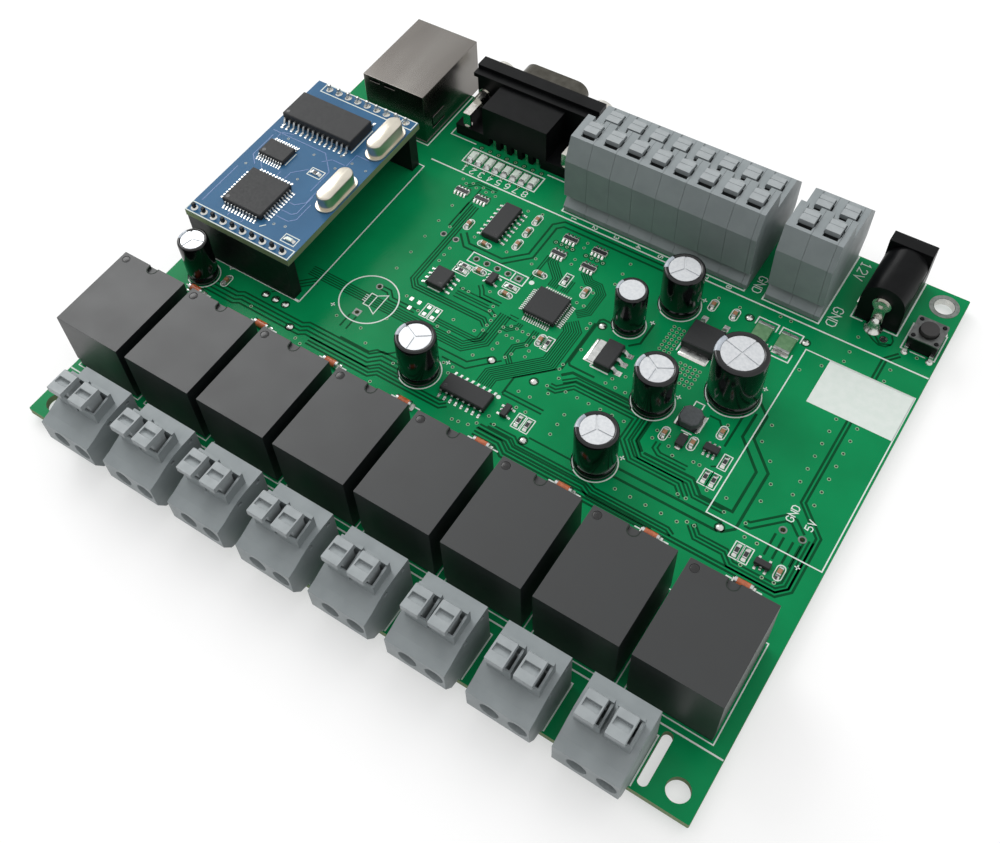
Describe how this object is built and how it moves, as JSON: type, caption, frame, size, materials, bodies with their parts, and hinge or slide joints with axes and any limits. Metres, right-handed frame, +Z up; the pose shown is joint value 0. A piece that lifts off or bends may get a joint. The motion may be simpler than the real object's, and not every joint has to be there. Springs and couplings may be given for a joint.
{
  "type": "relay board",
  "caption": "Relay board with a row of relays behind push-lever output terminals, two-tier input terminals, network, serial and power jacks and a plug-on controller board.",
  "frame": {"origin": "centre of the front-left mounting hole on the underside of the main board", "axes": "+X to the right along the relay row, +Y from the output terminals to the connectors at the back, +Z up out of the component side"},
  "size_m": [0.1407, 0.1259, 0.0233],
  "materials": {
    "green_board": "green solder mask over glass laminate",
    "blue_board": "blue solder mask over glass laminate",
    "relay_plastic": "moulded black case",
    "terminal_plastic": "moulded grey housing",
    "lever_plastic": "moulded light grey lever",
    "button_plastic": "moulded black button",
    "black_plastic": "moulded black",
    "chip_epoxy": "moulded chip epoxy",
    "capacitor_sleeve": "black shrink sleeve on aluminium can",
    "part_ceramic": "small fired and moulded parts",
    "tinplate": "bright stamped sheet",
    "tinned_metal": "tinned or soldered",
    "gold_contact": "gold plated"
  },
  "bodies": {
    "board_assembly": {"main_board": "green_board", "relays": "relay_plastic", "output_terminals": "terminal_plastic", "output_contacts": "tinned_metal", "input_terminals": "terminal_plastic", "input_contacts": "tinned_metal", "network_jack_shield": "tinplate", "network_jack_insert": "black_plastic", "network_jack_contacts": "gold_contact", "serial_housing": "black_plastic", "serial_shell": "tinplate", "serial_metalwork": "tinned_metal", "power_jack_housing": "black_plastic", "power_jack_contacts": "tinned_metal", "reset_switch": "black_plastic", "daughter_board": "blue_board", "daughter_headers": "black_plastic", "daughter_sockets": "black_plastic", "daughter_parts": "chip_epoxy", "electrolytic_capacitors": "capacitor_sleeve", "board_chips": "chip_epoxy", "surface_parts": "part_ceramic", "solder_joints": "tinned_metal"},
    "output_lever_1": {"output_lever_1": "lever_plastic"},
    "output_lever_2": {"output_lever_2": "lever_plastic"},
    "output_lever_3": {"output_lever_3": "lever_plastic"},
    "output_lever_4": {"output_lever_4": "lever_plastic"},
    "output_lever_5": {"output_lever_5": "lever_plastic"},
    "output_lever_6": {"output_lever_6": "lever_plastic"},
    "output_lever_7": {"output_lever_7": "lever_plastic"},
    "output_lever_8": {"output_lever_8": "lever_plastic"},
    "output_lever_9": {"output_lever_9": "lever_plastic"},
    "output_lever_10": {"output_lever_10": "lever_plastic"},
    "output_lever_11": {"output_lever_11": "lever_plastic"},
    "output_lever_12": {"output_lever_12": "lever_plastic"},
    "output_lever_13": {"output_lever_13": "lever_plastic"},
    "output_lever_14": {"output_lever_14": "lever_plastic"},
    "output_lever_15": {"output_lever_15": "lever_plastic"},
    "output_lever_16": {"output_lever_16": "lever_plastic"},
    "input_tab_upper_1": {"input_tab_upper_1": "lever_plastic"},
    "input_tab_upper_2": {"input_tab_upper_2": "lever_plastic"},
    "input_tab_upper_3": {"input_tab_upper_3": "lever_plastic"},
    "input_tab_upper_4": {"input_tab_upper_4": "lever_plastic"},
    "input_tab_upper_5": {"input_tab_upper_5": "lever_plastic"},
    "input_tab_upper_6": {"input_tab_upper_6": "lever_plastic"},
    "input_tab_upper_7": {"input_tab_upper_7": "lever_plastic"},
    "input_tab_upper_8": {"input_tab_upper_8": "lever_plastic"},
    "input_tab_lower_1": {"input_tab_lower_1": "lever_plastic"},
    "input_tab_lower_2": {"input_tab_lower_2": "lever_plastic"},
    "input_tab_lower_3": {"input_tab_lower_3": "lever_plastic"},
    "input_tab_lower_4": {"input_tab_lower_4": "lever_plastic"},
    "input_tab_lower_5": {"input_tab_lower_5": "lever_plastic"},
    "input_tab_lower_6": {"input_tab_lower_6": "lever_plastic"},
    "input_tab_lower_7": {"input_tab_lower_7": "lever_plastic"},
    "input_tab_lower_8": {"input_tab_lower_8": "lever_plastic"},
    "supply_tab_upper_1": {"supply_tab_upper_1": "lever_plastic"},
    "supply_tab_upper_2": {"supply_tab_upper_2": "lever_plastic"},
    "supply_tab_lower_1": {"supply_tab_lower_1": "lever_plastic"},
    "supply_tab_lower_2": {"supply_tab_lower_2": "lever_plastic"},
    "reset_button": {"reset_button": "button_plastic"}
  },
  "joints": [
    {"name": "output_lever_1_press", "type": "slide", "parent": "board_assembly", "child": "output_lever_1", "axis": [0, 0, -1], "range_m": [0, 0.0015], "stiffness_N_per_m": 2000},
    {"name": "output_lever_2_press", "type": "slide", "parent": "board_assembly", "child": "output_lever_2", "axis": [0, 0, -1], "range_m": [0, 0.0015], "stiffness_N_per_m": 2000},
    {"name": "output_lever_3_press", "type": "slide", "parent": "board_assembly", "child": "output_lever_3", "axis": [0, 0, -1], "range_m": [0, 0.0015], "stiffness_N_per_m": 2000},
    {"name": "output_lever_4_press", "type": "slide", "parent": "board_assembly", "child": "output_lever_4", "axis": [0, 0, -1], "range_m": [0, 0.0015], "stiffness_N_per_m": 2000},
    {"name": "output_lever_5_press", "type": "slide", "parent": "board_assembly", "child": "output_lever_5", "axis": [0, 0, -1], "range_m": [0, 0.0015], "stiffness_N_per_m": 2000},
    {"name": "output_lever_6_press", "type": "slide", "parent": "board_assembly", "child": "output_lever_6", "axis": [0, 0, -1], "range_m": [0, 0.0015], "stiffness_N_per_m": 2000},
    {"name": "output_lever_7_press", "type": "slide", "parent": "board_assembly", "child": "output_lever_7", "axis": [0, 0, -1], "range_m": [0, 0.0015], "stiffness_N_per_m": 2000},
    {"name": "output_lever_8_press", "type": "slide", "parent": "board_assembly", "child": "output_lever_8", "axis": [0, 0, -1], "range_m": [0, 0.0015], "stiffness_N_per_m": 2000},
    {"name": "output_lever_9_press", "type": "slide", "parent": "board_assembly", "child": "output_lever_9", "axis": [0, 0, -1], "range_m": [0, 0.0015], "stiffness_N_per_m": 2000},
    {"name": "output_lever_10_press", "type": "slide", "parent": "board_assembly", "child": "output_lever_10", "axis": [0, 0, -1], "range_m": [0, 0.0015], "stiffness_N_per_m": 2000},
    {"name": "output_lever_11_press", "type": "slide", "parent": "board_assembly", "child": "output_lever_11", "axis": [0, 0, -1], "range_m": [0, 0.0015], "stiffness_N_per_m": 2000},
    {"name": "output_lever_12_press", "type": "slide", "parent": "board_assembly", "child": "output_lever_12", "axis": [0, 0, -1], "range_m": [0, 0.0015], "stiffness_N_per_m": 2000},
    {"name": "output_lever_13_press", "type": "slide", "parent": "board_assembly", "child": "output_lever_13", "axis": [0, 0, -1], "range_m": [0, 0.0015], "stiffness_N_per_m": 2000},
    {"name": "output_lever_14_press", "type": "slide", "parent": "board_assembly", "child": "output_lever_14", "axis": [0, 0, -1], "range_m": [0, 0.0015], "stiffness_N_per_m": 2000},
    {"name": "output_lever_15_press", "type": "slide", "parent": "board_assembly", "child": "output_lever_15", "axis": [0, 0, -1], "range_m": [0, 0.0015], "stiffness_N_per_m": 2000},
    {"name": "output_lever_16_press", "type": "slide", "parent": "board_assembly", "child": "output_lever_16", "axis": [0, 0, -1], "range_m": [0, 0.0015], "stiffness_N_per_m": 2000},
    {"name": "input_tab_upper_1_press", "type": "slide", "parent": "board_assembly", "child": "input_tab_upper_1", "axis": [0, 0, -1], "range_m": [0, 0.0012], "stiffness_N_per_m": 1500},
    {"name": "input_tab_upper_2_press", "type": "slide", "parent": "board_assembly", "child": "input_tab_upper_2", "axis": [0, 0, -1], "range_m": [0, 0.0012], "stiffness_N_per_m": 1500},
    {"name": "input_tab_upper_3_press", "type": "slide", "parent": "board_assembly", "child": "input_tab_upper_3", "axis": [0, 0, -1], "range_m": [0, 0.0012], "stiffness_N_per_m": 1500},
    {"name": "input_tab_upper_4_press", "type": "slide", "parent": "board_assembly", "child": "input_tab_upper_4", "axis": [0, 0, -1], "range_m": [0, 0.0012], "stiffness_N_per_m": 1500},
    {"name": "input_tab_upper_5_press", "type": "slide", "parent": "board_assembly", "child": "input_tab_upper_5", "axis": [0, 0, -1], "range_m": [0, 0.0012], "stiffness_N_per_m": 1500},
    {"name": "input_tab_upper_6_press", "type": "slide", "parent": "board_assembly", "child": "input_tab_upper_6", "axis": [0, 0, -1], "range_m": [0, 0.0012], "stiffness_N_per_m": 1500},
    {"name": "input_tab_upper_7_press", "type": "slide", "parent": "board_assembly", "child": "input_tab_upper_7", "axis": [0, 0, -1], "range_m": [0, 0.0012], "stiffness_N_per_m": 1500},
    {"name": "input_tab_upper_8_press", "type": "slide", "parent": "board_assembly", "child": "input_tab_upper_8", "axis": [0, 0, -1], "range_m": [0, 0.0012], "stiffness_N_per_m": 1500},
    {"name": "input_tab_lower_1_press", "type": "slide", "parent": "board_assembly", "child": "input_tab_lower_1", "axis": [0, 0, -1], "range_m": [0, 0.0012], "stiffness_N_per_m": 1500},
    {"name": "input_tab_lower_2_press", "type": "slide", "parent": "board_assembly", "child": "input_tab_lower_2", "axis": [0, 0, -1], "range_m": [0, 0.0012], "stiffness_N_per_m": 1500},
    {"name": "input_tab_lower_3_press", "type": "slide", "parent": "board_assembly", "child": "input_tab_lower_3", "axis": [0, 0, -1], "range_m": [0, 0.0012], "stiffness_N_per_m": 1500},
    {"name": "input_tab_lower_4_press", "type": "slide", "parent": "board_assembly", "child": "input_tab_lower_4", "axis": [0, 0, -1], "range_m": [0, 0.0012], "stiffness_N_per_m": 1500},
    {"name": "input_tab_lower_5_press", "type": "slide", "parent": "board_assembly", "child": "input_tab_lower_5", "axis": [0, 0, -1], "range_m": [0, 0.0012], "stiffness_N_per_m": 1500},
    {"name": "input_tab_lower_6_press", "type": "slide", "parent": "board_assembly", "child": "input_tab_lower_6", "axis": [0, 0, -1], "range_m": [0, 0.0012], "stiffness_N_per_m": 1500},
    {"name": "input_tab_lower_7_press", "type": "slide", "parent": "board_assembly", "child": "input_tab_lower_7", "axis": [0, 0, -1], "range_m": [0, 0.0012], "stiffness_N_per_m": 1500},
    {"name": "input_tab_lower_8_press", "type": "slide", "parent": "board_assembly", "child": "input_tab_lower_8", "axis": [0, 0, -1], "range_m": [0, 0.0012], "stiffness_N_per_m": 1500},
    {"name": "supply_tab_upper_1_press", "type": "slide", "parent": "board_assembly", "child": "supply_tab_upper_1", "axis": [0, 0, -1], "range_m": [0, 0.0012], "stiffness_N_per_m": 1500},
    {"name": "supply_tab_upper_2_press", "type": "slide", "parent": "board_assembly", "child": "supply_tab_upper_2", "axis": [0, 0, -1], "range_m": [0, 0.0012], "stiffness_N_per_m": 1500},
    {"name": "supply_tab_lower_1_press", "type": "slide", "parent": "board_assembly", "child": "supply_tab_lower_1", "axis": [0, 0, -1], "range_m": [0, 0.0012], "stiffness_N_per_m": 1500},
    {"name": "supply_tab_lower_2_press", "type": "slide", "parent": "board_assembly", "child": "supply_tab_lower_2", "axis": [0, 0, -1], "range_m": [0, 0.0012], "stiffness_N_per_m": 1500},
    {"name": "reset_button_press", "type": "slide", "parent": "board_assembly", "child": "reset_button", "axis": [0, 0, -1], "range_m": [0, 0.0003], "stiffness_N_per_m": 3000}
  ]
}
